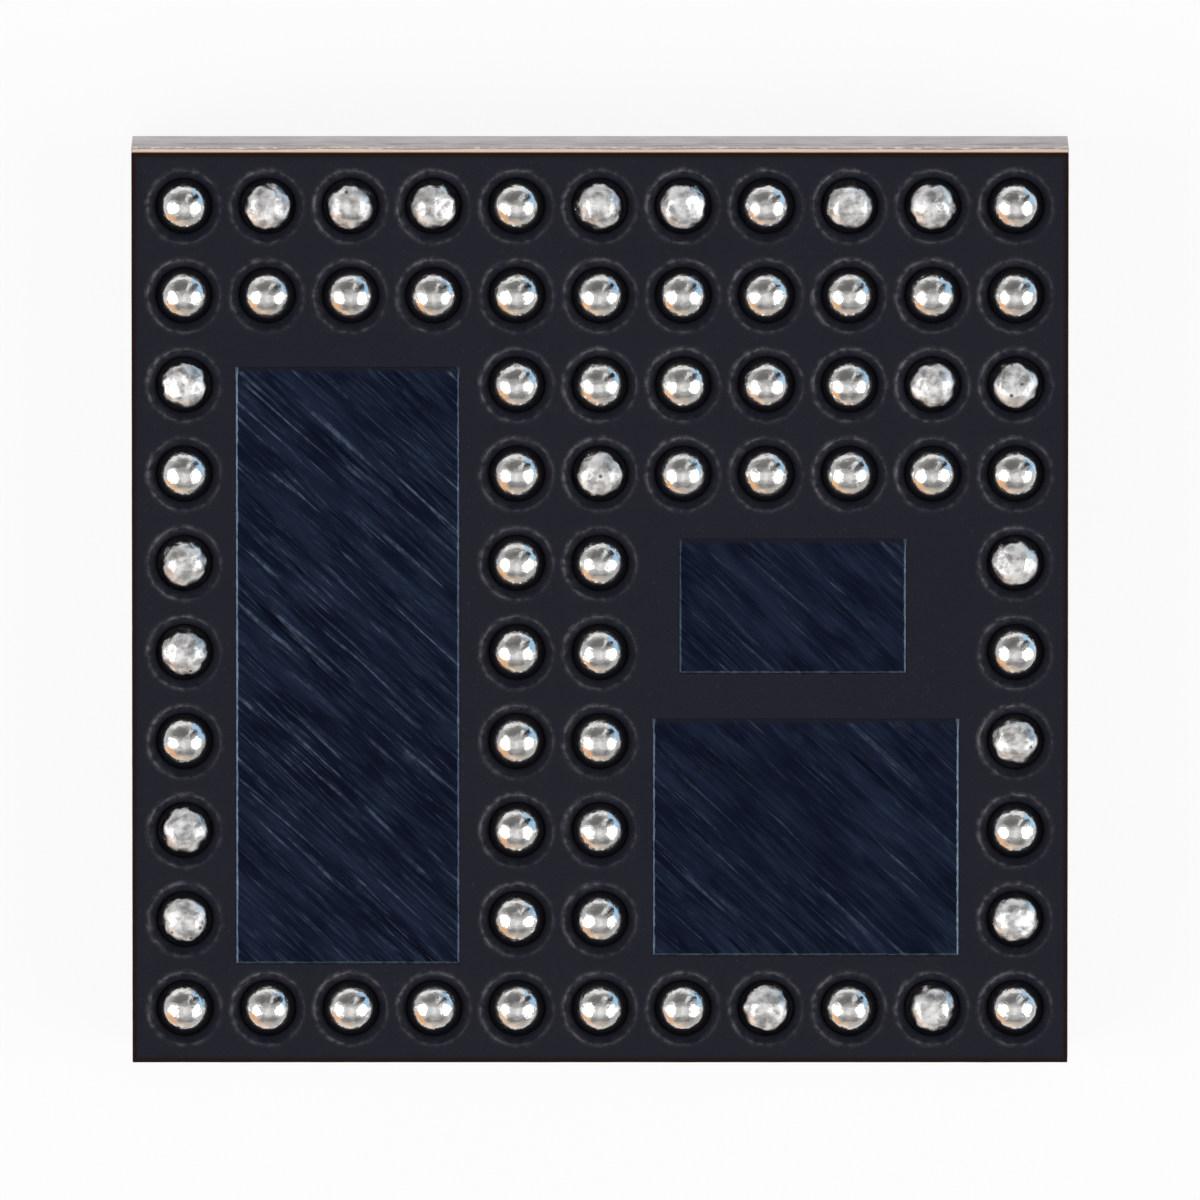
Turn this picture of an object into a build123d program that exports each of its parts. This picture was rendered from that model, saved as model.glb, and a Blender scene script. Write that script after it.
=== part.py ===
from build123d import *
import os
from math import cos, hypot, radians, sin, sqrt

# A double-sided moulded ball grid module with a metal skin, in millimetres.
# It lies on its shielded face, balls up. The origin is the middle of that face,
# +X runs along the ball rows and +Z points out of the ball side.

# Ball grid
ball_columns = 11
row_letters = "abcdefghjk"
column_pitch = 0.50
row_pitch = 0.54
edge_margin_x = 0.32  # from the outer balls' centres to the outside of the package
edge_margin_y = 0.33
ball_diameter = 0.36
hole_inset = 0.01  # from a ball's equator in to the wall of the hole that it fills
bevel_width = 0.048  # the hole opens in a bevel at the mould's face
bevel_depth = 0.045
bevel_to_die = 0.02  # least mould between a bevel's rim and a die

# Balls and their holes are turned forms with few sides, because there are so many of them
turned_sides = 12
ball_ring_angles = (45, 68)  # degrees above the equator

# Metal skin: copper inside, steel outside, with a band of bare copper along the rim
steel_skin = 0.004
copper_skin = 0.006
bare_copper_band = 0.15

# Layers
substrate_height = 0.20
mould_cover = 0.17  # upper mould beyond the tallest piece in it
lower_mould_height = 0.19

# Dies on the ball side, as tall as the lower mould and ground flush with it
long_die_length = 3.62
long_die_width = 1.35
long_die_to_column = 0.089  # mould from the first column's bevels to the die
long_die_to_row = 0.053  # mould from the last row's bevels to the die
small_die_length = 0.82
small_die_width = 1.37
small_die_x = 1.159
small_die_y = 0.012
wide_die_length = 1.441
wide_die_width = 1.847
wide_die_to_column = 0.12  # mould from the last column's bevels to the die
wide_die_to_small = 0.271  # mould between the two right-hand dies

# Fence of upright wires in the upper mould: a U that opens towards -Y
fence_x = 1.158
fence_top_y = -0.296
fence_width = 1.041
fence_pitch = 0.205
fence_top_pitch = 0.20
fence_wire_side = 0.026
fence_edge_gap = 0.15  # least mould between the last wires and the skin
fence_corner_gap = 0.10  # least distance along X from the top wires to the side rows

# Pieces in the upper mould, all seated on the substrate
amplifier_length = 1.40
amplifier_height = 0.22
amplifier_to_fence = 0.20
filter_count = 4
filter_length = 0.95
filter_width = 0.75
filter_height = 0.26
filter_gap = 0.25
capacitor_count = 8
capacitor_length = 0.40
capacitor_width = 0.20
capacitor_height = 0.22
capacitor_gap = 0.15
inductor_count = 6
inductor_length = 0.60
inductor_width = 0.30
inductor_height = 0.33
inductor_gap = 0.15
switch_length = 1.60
switch_width = 1.50
switch_height = 0.20
switch_x = -1.20
first_row_margin = 0.35  # from the +Y skin to the filters
row_gap = 0.25  # between one row of pieces and the next

# Worked out from the sizes above
ball_rows = len(row_letters)
ball_radius = ball_diameter / 2
hole_radius = ball_radius - hole_inset
rim_radius = hole_radius + bevel_width
bevel_z = lower_mould_height - bevel_depth  # above the substrate, where the bevel meets the ball
last_column_x = (ball_columns - 1) * column_pitch / 2
last_row_y = -(ball_rows - 1) * row_pitch / 2
skin = steel_skin + copper_skin
body_length = 2 * (last_column_x + edge_margin_x)
body_width = 2 * (edge_margin_y - last_row_y)
core_length = body_length - 2 * skin
core_width = body_width - 2 * skin
upper_mould_height = mould_cover + max(
    amplifier_height, filter_height, capacitor_height, inductor_height, switch_height
)
upper_mould_z = skin
substrate_z = upper_mould_z + upper_mould_height
lower_mould_z = substrate_z + substrate_height
face_z = lower_mould_z + lower_mould_height
long_die_x = -last_column_x + rim_radius + long_die_to_column + long_die_width / 2
long_die_y = last_row_y + rim_radius + long_die_to_row + long_die_length / 2
wide_die_x = last_column_x - rim_radius - wide_die_to_column - wide_die_width / 2
wide_die_y = small_die_y - small_die_length / 2 - wide_die_to_small - wide_die_length / 2

# Name, X size, Y size, centre X and centre Y of each die on the ball side
ball_side_dies = {
    "long_die": (long_die_width, long_die_length, long_die_x, long_die_y),
    "small_die": (small_die_width, small_die_length, small_die_x, small_die_y),
    "wide_die": (wide_die_width, wide_die_length, wide_die_x, wide_die_y),
}


def block(size_x, size_y, height, x, y, z):
    """A block centred on x, y that stands on height z."""
    standing = (Align.CENTER, Align.CENTER, Align.MIN)
    return Pos(x, y, z) * Box(size_x, size_y, height, align=standing)


def layer(height, z):
    """A block that fills the inside of the skin from z up."""
    return block(core_length, core_width, height, 0, 0, z)


def spread(count, pitch, middle=0.0):
    """Places along a line, evenly spaced about its middle."""
    return [middle + (k - (count - 1) / 2) * pitch for k in range(count)]


def group(solids):
    """Separate solids that make up one named piece."""
    return Compound(children=solids)


def ring(height, radius):
    """Corners of one ring of a turned form."""
    corner = Vector(radius, 0, height)
    return [corner.rotate(Axis.Z, 360 * k / turned_sides) for k in range(turned_sides)]


def ball():
    """One solder ball: it fills its hole from the substrate up and rounds over above it."""
    centre_z = bevel_z - sqrt(ball_radius**2 - hole_radius**2)
    corners = ring(0, hole_radius) + ring(bevel_z, hole_radius)
    for angle in map(radians, ball_ring_angles):
        corners += ring(centre_z + ball_radius * sin(angle), ball_radius * cos(angle))
    corners.append(Vector(0, 0, centre_z + ball_radius))
    return ConvexPolyhedron(corners)


def ball_hole():
    """The space that a ball needs in the lower mould: a straight hole, bevelled at the face."""
    hole = extrude(RegularPolygon(hole_radius, turned_sides), lower_mould_height)
    bevel = ConvexPolyhedron(ring(bevel_z, hole_radius) + ring(lower_mould_height, rim_radius))
    return hole + bevel


def clear_of_dies(x, y):
    """Whether a ball's bevel at x, y keeps its distance from every die."""
    for size_x, size_y, die_x, die_y in ball_side_dies.values():
        beside = max(abs(x - die_x) - size_x / 2, 0)
        above = max(abs(y - die_y) - size_y / 2, 0)
        if hypot(beside, above) < rim_radius + bevel_to_die:
            return False
    return True


def row_places(row):
    """Ball centres of one row, counted from +Y. Places over a die stay empty."""
    y = spread(ball_rows, -row_pitch)[row]
    return [(x, y) for x in spread(ball_columns, column_pitch) if clear_of_dies(x, y)]


def ball_row(row):
    """The balls of one row, standing on the substrate."""
    one_ball = ball()
    return group([Pos(x, y, lower_mould_z) * one_ball for x, y in row_places(row)])


def ball_side_die(name):
    """One die with its back ground flush with the mould's face."""
    size_x, size_y, x, y = ball_side_dies[name]
    return block(size_x, size_y, lower_mould_height, x, y, lower_mould_z)


def lower_mould():
    """Mould on the ball side, round the dies and round every ball."""
    places = [place for row in range(ball_rows) for place in row_places(row)]
    one_hole = ball_hole()
    holes = [Pos(x, y, lower_mould_z) * one_hole for x, y in places]
    dies = [ball_side_die(name) for name in ball_side_dies]
    return layer(lower_mould_height, lower_mould_z) - (holes + dies)


def fence_wires():
    """Upright wires from the substrate to the skin, along the sides and top of a U."""
    side_room = fence_top_y + core_width / 2 - fence_edge_gap
    side_count = int(side_room / fence_pitch)
    top_count = int((fence_width - 2 * fence_corner_gap) / fence_top_pitch) + 1
    places = [(x, fence_top_y) for x in spread(top_count, fence_top_pitch, fence_x)]
    for x in spread(2, fence_width, fence_x):
        places += [(x, fence_top_y - (k + 1) * fence_pitch) for k in range(side_count)]
    side = fence_wire_side
    return [block(side, side, upper_mould_height, x, y, upper_mould_z) for x, y in places]


def hung(size_x, size_y, height, x, y):
    """A piece in the upper mould, seated on the substrate's lower face."""
    return block(size_x, size_y, height, x, y, substrate_z - height)


def row_of_pieces(count, length, width, height, gap, top_y):
    """Like pieces side by side along X, with their +Y edges at top_y."""
    y = top_y - width / 2
    return [hung(length, width, height, x, y) for x in spread(count, length + gap)]


def upper_pieces():
    """Groups of pieces in the upper mould by name, row after row from the +Y skin."""
    filter_top = core_width / 2 - first_row_margin
    capacitor_top = filter_top - filter_width - row_gap
    inductor_top = capacitor_top - capacitor_width - row_gap
    switch_top = inductor_top - inductor_width - row_gap
    amplifier_width = fence_width - 2 * amplifier_to_fence
    amplifier_y = fence_top_y - amplifier_to_fence - amplifier_length / 2
    return {
        "filter_dies": row_of_pieces(
            filter_count, filter_length, filter_width, filter_height, filter_gap, filter_top
        ),
        "capacitors": row_of_pieces(
            capacitor_count, capacitor_length, capacitor_width, capacitor_height,
            capacitor_gap, capacitor_top
        ),
        "inductors": row_of_pieces(
            inductor_count, inductor_length, inductor_width, inductor_height,
            inductor_gap, inductor_top
        ),
        "switch_die": [
            hung(switch_width, switch_length, switch_height, switch_x, switch_top - switch_length / 2)
        ],
        "amplifier_die": [
            hung(amplifier_width, amplifier_length, amplifier_height, fence_x, amplifier_y)
        ],
    }


def upper_mould():
    """Mould on the shielded side, cast round the pieces and wires in it."""
    cast_in = [piece for pieces in upper_pieces().values() for piece in pieces]
    return layer(upper_mould_height, upper_mould_z) - (cast_in + fence_wires())


def shield_copper():
    """Copper skin on the shielded face and all four walls, up to the ball side."""
    outside = block(
        core_length + 2 * copper_skin, core_width + 2 * copper_skin,
        face_z - steel_skin, 0, 0, steel_skin
    )
    return outside - layer(face_z - skin, skin)


def shield_steel():
    """Steel skin over the copper, which it leaves bare along the rim."""
    outside = block(body_length, body_width, face_z - bare_copper_band, 0, 0, 0)
    inside = block(
        body_length - 2 * steel_skin, body_width - 2 * steel_skin,
        face_z, 0, 0, steel_skin
    )
    return outside - inside


parts = {
    "shield_steel": shield_steel(),
    "shield_copper": shield_copper(),
    "upper_mould": upper_mould(),
    "substrate": layer(substrate_height, substrate_z),
    "lower_mould": lower_mould(),
    "fence_wires": group(fence_wires()),
}
for name in ball_side_dies:
    parts[name] = ball_side_die(name)
for name, pieces in upper_pieces().items():
    parts[name] = group(pieces)
for row, letter in enumerate(row_letters):
    parts["ball_row_" + letter] = ball_row(row)

os.makedirs("parts", exist_ok=True)
for name, shape in parts.items():
    export_step(shape, "parts/" + name + ".step")
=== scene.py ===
"""A moulded ball grid module lying on its shielded face, balls up.

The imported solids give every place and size. This script gives them fine meshes
and finishes: soldered balls in bevelled holes, three ground dies flush with the
mould, and a thin steel skin over copper. Lengths are in metres.
"""

import math
import random

import bmesh
import bpy
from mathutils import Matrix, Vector, noise


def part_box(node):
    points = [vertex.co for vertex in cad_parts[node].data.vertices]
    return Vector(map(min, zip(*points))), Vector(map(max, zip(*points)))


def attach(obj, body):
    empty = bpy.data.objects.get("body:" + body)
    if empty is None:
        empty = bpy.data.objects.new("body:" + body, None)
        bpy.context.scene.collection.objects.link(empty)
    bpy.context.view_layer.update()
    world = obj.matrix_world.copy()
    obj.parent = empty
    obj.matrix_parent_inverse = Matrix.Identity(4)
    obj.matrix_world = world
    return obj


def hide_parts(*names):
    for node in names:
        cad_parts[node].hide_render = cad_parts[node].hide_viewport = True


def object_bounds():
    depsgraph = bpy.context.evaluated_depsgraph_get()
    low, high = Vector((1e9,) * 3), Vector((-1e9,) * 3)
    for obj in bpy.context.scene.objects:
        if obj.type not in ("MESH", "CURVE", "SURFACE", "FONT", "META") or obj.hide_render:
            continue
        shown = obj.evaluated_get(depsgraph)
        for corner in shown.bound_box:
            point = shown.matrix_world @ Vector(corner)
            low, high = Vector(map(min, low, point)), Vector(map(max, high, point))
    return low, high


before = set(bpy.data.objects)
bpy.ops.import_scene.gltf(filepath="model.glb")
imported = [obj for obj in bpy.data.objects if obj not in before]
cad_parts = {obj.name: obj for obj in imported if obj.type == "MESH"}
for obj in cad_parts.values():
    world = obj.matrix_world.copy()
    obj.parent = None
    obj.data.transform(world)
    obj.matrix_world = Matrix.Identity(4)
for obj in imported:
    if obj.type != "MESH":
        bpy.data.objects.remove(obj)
cad_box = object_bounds()

UM = 1e-6  # metres in a micrometre
PER_MM = 1000  # turns metres into millimetres, the unit of every pattern's scale

# Balls and their holes
BALL_RADIUS = 180 * UM
RIM_RADIUS = 218 * UM
BEVEL_DEPTH = 45 * UM
BALL_SIDES = 48
DOME_RADIUS = 168 * UM  # of the ball's top, down to where it slopes at 45 degrees
DOME_RINGS = 9
FLANK_RINGS = 6
FLANK_BEND = 20 * UM  # how far the slope at the dome's foot runs on into the flank
DENT_DEPTH = 4.0 * UM
DENT_SCALE = 8.0  # waves per millimetre
LUMP_DEPTH = 12 * UM
LUMP_SCALE = 14.0
DOME_FADE = (0.0, 0.03)  # millimetres over the bevel between which dents and lumps set in
SCUFF_FADE = (0.045, 0.075)  # and between which scuffs set in
SCUFF_LUMPS = (0.25, 0.5)  # lumps between which a scuff grows to its full strength
SCUFF_LEAST = 0.3  # its strength off the lumps
PRESS_DEPTHS = ((14 * UM, 26 * UM), (5 * UM, 15 * UM))  # least and most, for the top and for a side
PRESS_SLANTS = (16, 50)  # degrees from straight up, at most
PRESS_TILTS = (0.2, 1.0)  # shares of those slants, least and most
PRESS_GIVE = (-0.5, -0.9)  # share of what stands proud that a flat pushes in, least and most
PRESS_SPREAD = 0.07  # share of its radius that a pressed ball swells
SWELL_LUMPS = (0.32, 0.62)  # lumps between which the swelling grows
SWELL_RANGE = (-0.45, 1.0)  # its shares off and on the lumps
BALL_SEED = 4  # of the turns that make the balls differ
# Column numbers of the balls that test contacts have pressed and scuffed, by row
WORN_BALLS = {
    "a": (2, 3, 4, 6, 7, 9, 10), "c": (1, 10, 11), "d": (6,), "e": (1, 11), "f": (1,),
    "g": (11,), "h": (1,), "j": (1, 11), "k": (8, 10),
}

# The hole's mouth, from the flat face inwards: radius beyond the rim, height over the face
MOUTH_LIP = (
    (28 * UM, 0), (16 * UM, 0.3 * UM), (8 * UM, 0.8 * UM), (3 * UM, 1.2 * UM), (-2 * UM, -1 * UM),
)
# How pale each ring of the hole's mouth is painted: partly a whitened edge, partly a painted highlight
# where the rim catches the light
LIP_PALENESS = (0.12, 0.42, 0.66, 0.95, 0.90)
LIP_BREAKS = (0.5, 1.0)  # shares of that paleness, from point to point
LIP_BRIGHT_SIDE = math.radians(150)  # bearing of the rim's brightest stretch, where the painted light is strongest
LIP_DIM_SIDE = 0.45
BEVEL_RINGS = 5
BEVEL_ROUGHNESS = 1.6 * UM
# The bevel is painted paler near the rim and darker deeper in the hole: painted light and shade
BEVEL_PALENESS = 0.56
BEVEL_BREAKS = (0.6, 1.0)
MOULD_EDGE_SHADOW = (0.036, 0.004)  # millimetres from the skin between which a painted shadow darkens the mould to brown
POINT_GRID = 0.1 * UM  # points of the flat faces that are nearer than this are one
SAME_LINE = 0.2 * UM  # lines across the flat faces that are nearer than this are one
CELL_SLACK = 0.3 * UM  # how far outside a ball's cell a line still counts as its border

# Ground dies
DIE_CHAMFER = 15 * UM
DIE_CHAMFER_DROP = 6 * UM
DIE_EDGE_STEP = 24 * UM
DIE_EDGE_FADE = 2 * UM
DIE_SMEAR = 45 * UM  # how far the mould is smeared over the +Y edge
DIE_SMEARED_CHAMFER = 0.15  # share of the chamfer that is left there
DIE_SMEAR_CLEAR = 1.2  # smears from that edge within which the sides have no points
DIE_CHIP_SIZES = (0.75, 1.15)  # chamfers, least and most
# How pale the -X and +X edges of each die are painted, from 0 to 1: partly chipping, partly a painted
# highlight where the lamps catch the edge
DIE_CHIPS_AND_GLINT = {"long_die": (0.45, 0.20), "small_die": (0.11, 0.32), "wide_die": (0.30, 0.56)}
DIE_CHIP_AND_GLINT_BREAKS = (0.7, 1.3)  # shares of that, from point to point
DIE_END_CHIPS_AND_GLINT = (0.25, 0.75)  # how pale the -Y edges are painted, least and most: partly chipping, partly a painted highlight
GRIND_SLANT = math.radians(43)
GRIND_MARKS = 0.66  # strength of the grinding marks and of their painted sheen on the long die
FINE_GRIND_MARKS = 0.36  # and on the other two

# Flat faces with many border points are filled by fans of this many points, in steps inwards
FILL_FAN = 4
FILL_SHARES = (0.85, 0.6, 0.3)

# Metal skin
STEEL = 4 * UM
COPPER = 6 * UM
CORNER_RADIUS = 8 * UM
CORNER_STEPS = 4
FOOT_RADIUS = 7 * UM
FOOT_BEND = 0.3  # share of that radius at which the foot's middle ring lies
WALL_STEP = 24 * UM
WALL_ROWS = 14
WALL_WAVE = 1.2 * UM
WAVE_SCALE = 6  # waves per millimetre
RAGGED_EDGE = 110 * UM  # most that the steel's edge wanders down the wall
RAGGED_MIDDLE = 0.55  # share of that, on average
RAGGED_WAVES = ((0.45, 2.2), (0.13, 15))  # share of that, and waves per millimetre
EDGE_THINNING = 0.6  # share of its thickness that the steel loses at that edge
RAGGED_ROWS = 4  # rows of the wall that follow the ragged edge
# Marks on the steel walls: height, and the distances from it between which they fade, in millimetres
SMUDGES = (0.48, 0.17, 0.03)
PALE_SPECKS = (0.66, 0.10, 0.03)
WALL_START = (0.001, 0.008)  # heights in millimetres between which the face turns into the wall

# Laser marks on the shielded face, in millimetres
PIN_MARK = (2.14, 1.98)
PIN_MARK_RADIUS = 0.20
PIN_BAR_OFFSET = 0.042
PIN_BAR_SIZE = (0.017, 0.10)  # half its width and half its length
PIN_BAR_CORE = 0.6  # share of its width that is fully pale
PIN_HATCH = 260.0  # radians per millimetre
DOT_SOFTNESS = 0.15  # share of a dot's size over which its edge fades
DOT_FIELD = (-0.125, 0.354)  # its -X, -Y corner
DOT_CELL = 0.106
DOT_CELLS = 16
DOT_SIZE = (0.34, 0.47)  # half its width and height, in cells
DOT_SHARE = 0.5  # of the cells that have a dot
FENCE_PITCH = 0.205
FENCE_TOP_PITCH = 0.20
FENCE_TOP_DOTS = 5
FENCE_DOT_RADIUS = 0.015

# Finishes of the hidden pieces: name, dark and light colour of the grain, metallic, grains per millimetre
HIDDEN_LOOKS = {
    "substrate": ("laminate", (0.10, 0.16, 0.05), (0.20, 0.26, 0.09), 0.0, 20.0),
    "fence_wires": ("gold_wire", (0.80, 0.58, 0.24), (0.90, 0.68, 0.32), 1.0, 60.0),
    "capacitors": ("tan_ceramic", (0.30, 0.21, 0.13), (0.38, 0.28, 0.18), 0.0, 40.0),
    "inductors": ("grey_ceramic", (0.16, 0.16, 0.17), (0.24, 0.24, 0.25), 0.0, 40.0),
}

# View and light
VIEW_TILT = math.radians(6.9)  # from straight above towards +Y
LENS = 1200  # millimetres, on a 36 mm sensor
SENSOR = 36
FRAME_SHARE = 0.78  # of the picture's width that the part takes
TABLE_REACH = 3.0  # to each side
TABLE_DROP = 3 * UM  # below the part
TABLE_WHITE = 0.88  # share of plain white in what the camera and reflections see of it
LAMP_DISTANCE = 0.8
LAMP_SLANT = math.radians(52)
LAMP_SPREAD = math.radians(21.5)
LAMP_FORWARD = math.radians(12)  # towards -Y
LAMP_RADIANCE = 2.2
# Grey of the tent by height, from the horizon to straight above
TENT_GREYS = (
    (0.0, 0.50), (0.18, 0.58), (0.32, 0.46), (0.44, 0.30), (0.58, 0.21), (0.74, 0.18), (1.0, 0.18),
)
# Panels in the tent: slant from straight above, bearing from +X, inner and outer spread, all in
# degrees, and colour
TENT_PANELS = (
    (13, -90, 20, 46, (0.50, 0.50, 0.50)),
    (13, -90, 2, 24, (1.0, 1.0, 1.0)),
    (52, -168, 22, 37, (0.78, 0.78, 0.78)),
    (52, -12, 22, 35, (0.66, 0.66, 0.66)),
    (25, -155, 8, 20, (0.76, 0.76, 0.76)),
    (25, -25, 8, 20, (0.76, 0.76, 0.76)),
    (86, 70, 8, 20, (1.0, 1.0, 1.0)),
    (86, 97, 10, 21, (1.0, 1.0, 1.0)),
    (86, 124, 8, 20, (1.0, 1.0, 1.0)),
    (80, -92, 10, 28, (0.64, 0.55, 0.47)),
    (88, 254, 6, 20, (1.0, 0.74, 0.55)),
    (86, 220, 10, 29, (1.0, 0.55, 0.28)),
    (83, 20, 8, 27, (0.42, 0.70, 1.0)),
    (87, 50, 8, 22, (0.46, 0.73, 1.0)),
    (54, 60, 4, 9, (1.0, 1.0, 1.0)),
    (42, 62, 4, 8, (0.95, 0.95, 0.95)),
    (30, 62, 3, 8, (0.85, 0.85, 0.85)),
    (71, 38, 6, 10, (0.03, 0.03, 0.04)),
    (60, 41, 4, 8, (0.03, 0.03, 0.04)),
    (50, 42, 3, 6, (0.05, 0.05, 0.06)),
)

WEAR_SEED = 11
rng = random.Random(WEAR_SEED)

row_nodes = sorted(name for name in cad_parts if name.startswith("ball_row_"))
mould_low, mould_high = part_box("lower_mould")
face_z, seat_z = mould_high.z, mould_low.z
die_names = ("long_die", "small_die", "wide_die")


# Places read from the solids, and directions

def heading(slant, bearing):
    """Direction at a slant from straight above and a bearing from +X, in radians."""
    across = math.sin(slant)
    return (across * math.cos(bearing), across * math.sin(bearing), math.cos(slant))


def row_tips(node):
    """Tips of the balls in one row, from -X to +X."""
    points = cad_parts[node].data.vertices
    top = max(v.co.z for v in points)
    tips = {round(v.co.x / UM): v.co.copy() for v in points if top - v.co.z < UM}
    return [tips[x] for x in sorted(tips)]


def ball_places():
    """(row letter, column number, tip) of every ball. The first row is full, so it numbers the columns."""
    columns = [round(tip.x / UM) for tip in row_tips(row_nodes[0])]
    return [
        (node[-1], columns.index(round(tip.x / UM)) + 1, tip)
        for node in row_nodes for tip in row_tips(node)
    ]


balls = ball_places()
first_row = row_tips(row_nodes[0])
column_pitch = first_row[1].x - first_row[0].x
row_pitch = first_row[0].y - row_tips(row_nodes[1])[0].y
hole_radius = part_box(row_nodes[0])[1].x - first_row[-1].x
bevel_z = face_z - BEVEL_DEPTH
ball_tip_z = bevel_z - math.sqrt(BALL_RADIUS**2 - hole_radius**2) + BALL_RADIUS
dome_centre_z = ball_tip_z - DOME_RADIUS


# Node trees

def put(tree, kind, inputs=None, **settings):
    """Adds a node with its settings. An input is a value, or a socket to link."""
    node = tree.nodes.new(kind)
    for name, value in settings.items():
        setattr(node, name, value)
    for key, given in (inputs or {}).items():
        if isinstance(given, bpy.types.NodeSocket):
            tree.links.new(given, node.inputs[key])
        else:
            node.inputs[key].default_value = given
    return node


def calc(tree, operation, *values):
    """One step of arithmetic on sockets and numbers."""
    node = put(tree, "ShaderNodeMath", dict(enumerate(values)), operation=operation)
    return node.outputs[0]


def vector_calc(tree, operation, first, second):
    """One step of arithmetic on two vectors."""
    node = put(tree, "ShaderNodeVectorMath", {0: first, 1: second}, operation=operation)
    return node.outputs["Value" if operation == "DOT_PRODUCT" else "Vector"]


def between(tree, value, low, high, to_low=0.0, to_high=1.0):
    """Eases a value from low..high into to_low..to_high, and holds it there outside."""
    node = put(tree, "ShaderNodeMapRange", {
        "Value": value, "From Min": low, "From Max": high, "To Min": to_low, "To Max": to_high,
    }, interpolation_type="SMOOTHSTEP")
    return node.outputs["Result"]


def graded(tree, mask, low, high):
    """Eases a mask into low..high."""
    return between(tree, mask, 0.0, 1.0, low, high)


def product(tree, first, *others):
    """Masks and numbers multiplied."""
    for other in others:
        first = calc(tree, "MULTIPLY", first, other)
    return first


def blend(tree, mask, first, second):
    """Mixes two colours by a mask."""
    node = put(tree, "ShaderNodeMix", {0: mask, 6: first, 7: second}, data_type="RGBA")
    return node.outputs[2]


def colour(red, green, blue):
    """A colour in linear light."""
    return (red, green, blue, 1.0)


def coated(tree, base, *coats):
    """Lays coats of colour over a base, one after the other: (mask, red, green and blue)."""
    for mask, tint in coats:
        base = blend(tree, mask, base, colour(*tint))
    return base


def shader_group(name, inputs, outputs):
    """An empty node group with named sockets: {name: (socket type, default)}."""
    tree = bpy.data.node_groups.new(name, "ShaderNodeTree")
    for label, (kind, default) in inputs.items():
        socket = tree.interface.new_socket(label, in_out="INPUT", socket_type=kind)
        if default is not None:
            socket.default_value = default
    for label in outputs:
        tree.interface.new_socket(label, in_out="OUTPUT", socket_type="NodeSocketFloat")
    return tree, put(tree, "NodeGroupInput"), put(tree, "NodeGroupOutput")


def grain_group():
    """Fine grain and the slow blotches under it."""
    tree, given, out = shader_group("grain", {
        "Place": ("NodeSocketVector", None), "Fine": ("NodeSocketFloat", 100.0),
        "Coarse": ("NodeSocketFloat", 3.0),
    }, ("Grain", "Blotches"))
    fine = put(tree, "ShaderNodeTexNoise", {
        "Vector": given.outputs["Place"], "Scale": given.outputs["Fine"], "Detail": 2.0,
    })
    coarse = put(tree, "ShaderNodeTexNoise", {
        "Vector": given.outputs["Place"], "Scale": given.outputs["Coarse"], "Detail": 4.0,
    })
    tree.links.new(between(tree, fine.outputs["Fac"], 0.3, 0.7), out.inputs["Grain"])
    tree.links.new(between(tree, coarse.outputs["Fac"], 0.32, 0.68), out.inputs["Blotches"])
    return tree


def strokes_group():
    """Long thin strokes that all run one way, such as grinding marks."""
    tree, given, out = shader_group("strokes", {
        "Place": ("NodeSocketVector", None), "Turn": ("NodeSocketFloat", 0.0),
        "Along": ("NodeSocketFloat", 1.0), "Across": ("NodeSocketFloat", 30.0),
        "From": ("NodeSocketFloat", 0.5), "To": ("NodeSocketFloat", 0.7),
    }, ("Strokes",))
    turned = put(tree, "ShaderNodeVectorRotate", {
        "Vector": given.outputs["Place"], "Angle": given.outputs["Turn"],
    }, rotation_type="Z_AXIS")
    stretch = put(tree, "ShaderNodeCombineXYZ", {
        "X": given.outputs["Along"], "Y": given.outputs["Across"], "Z": given.outputs["Along"],
    })
    drawn = vector_calc(tree, "MULTIPLY", turned.outputs[0], stretch.outputs[0])
    lines = put(tree, "ShaderNodeTexNoise", {
        "Vector": drawn, "Scale": 1.0, "Detail": 3.0, "Roughness": 0.55, "Distortion": 0.45,
    })
    mask = between(tree, lines.outputs["Fac"], given.outputs["From"], given.outputs["To"])
    tree.links.new(mask, out.inputs["Strokes"])
    return tree


def specks_group():
    """Small round specks, thinned out so that only some of the cells have one."""
    tree, given, out = shader_group("specks", {
        "Place": ("NodeSocketVector", None), "Scale": ("NodeSocketFloat", 10.0),
        "Size": ("NodeSocketFloat", 0.2), "Share": ("NodeSocketFloat", 0.3),
    }, ("Specks",))
    cells = put(tree, "ShaderNodeTexVoronoi", {
        "Vector": given.outputs["Place"], "Scale": given.outputs["Scale"],
    })
    apart = put(tree, "ShaderNodeSeparateColor", {0: cells.outputs["Color"]})
    chosen = calc(tree, "LESS_THAN", apart.outputs[0], given.outputs["Share"])
    near = calc(tree, "LESS_THAN", cells.outputs["Distance"], given.outputs["Size"])
    tree.links.new(calc(tree, "MULTIPLY", chosen, near), out.inputs["Specks"])
    return tree


GRAIN = grain_group()
STROKES = strokes_group()
SPECKS = specks_group()


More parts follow.
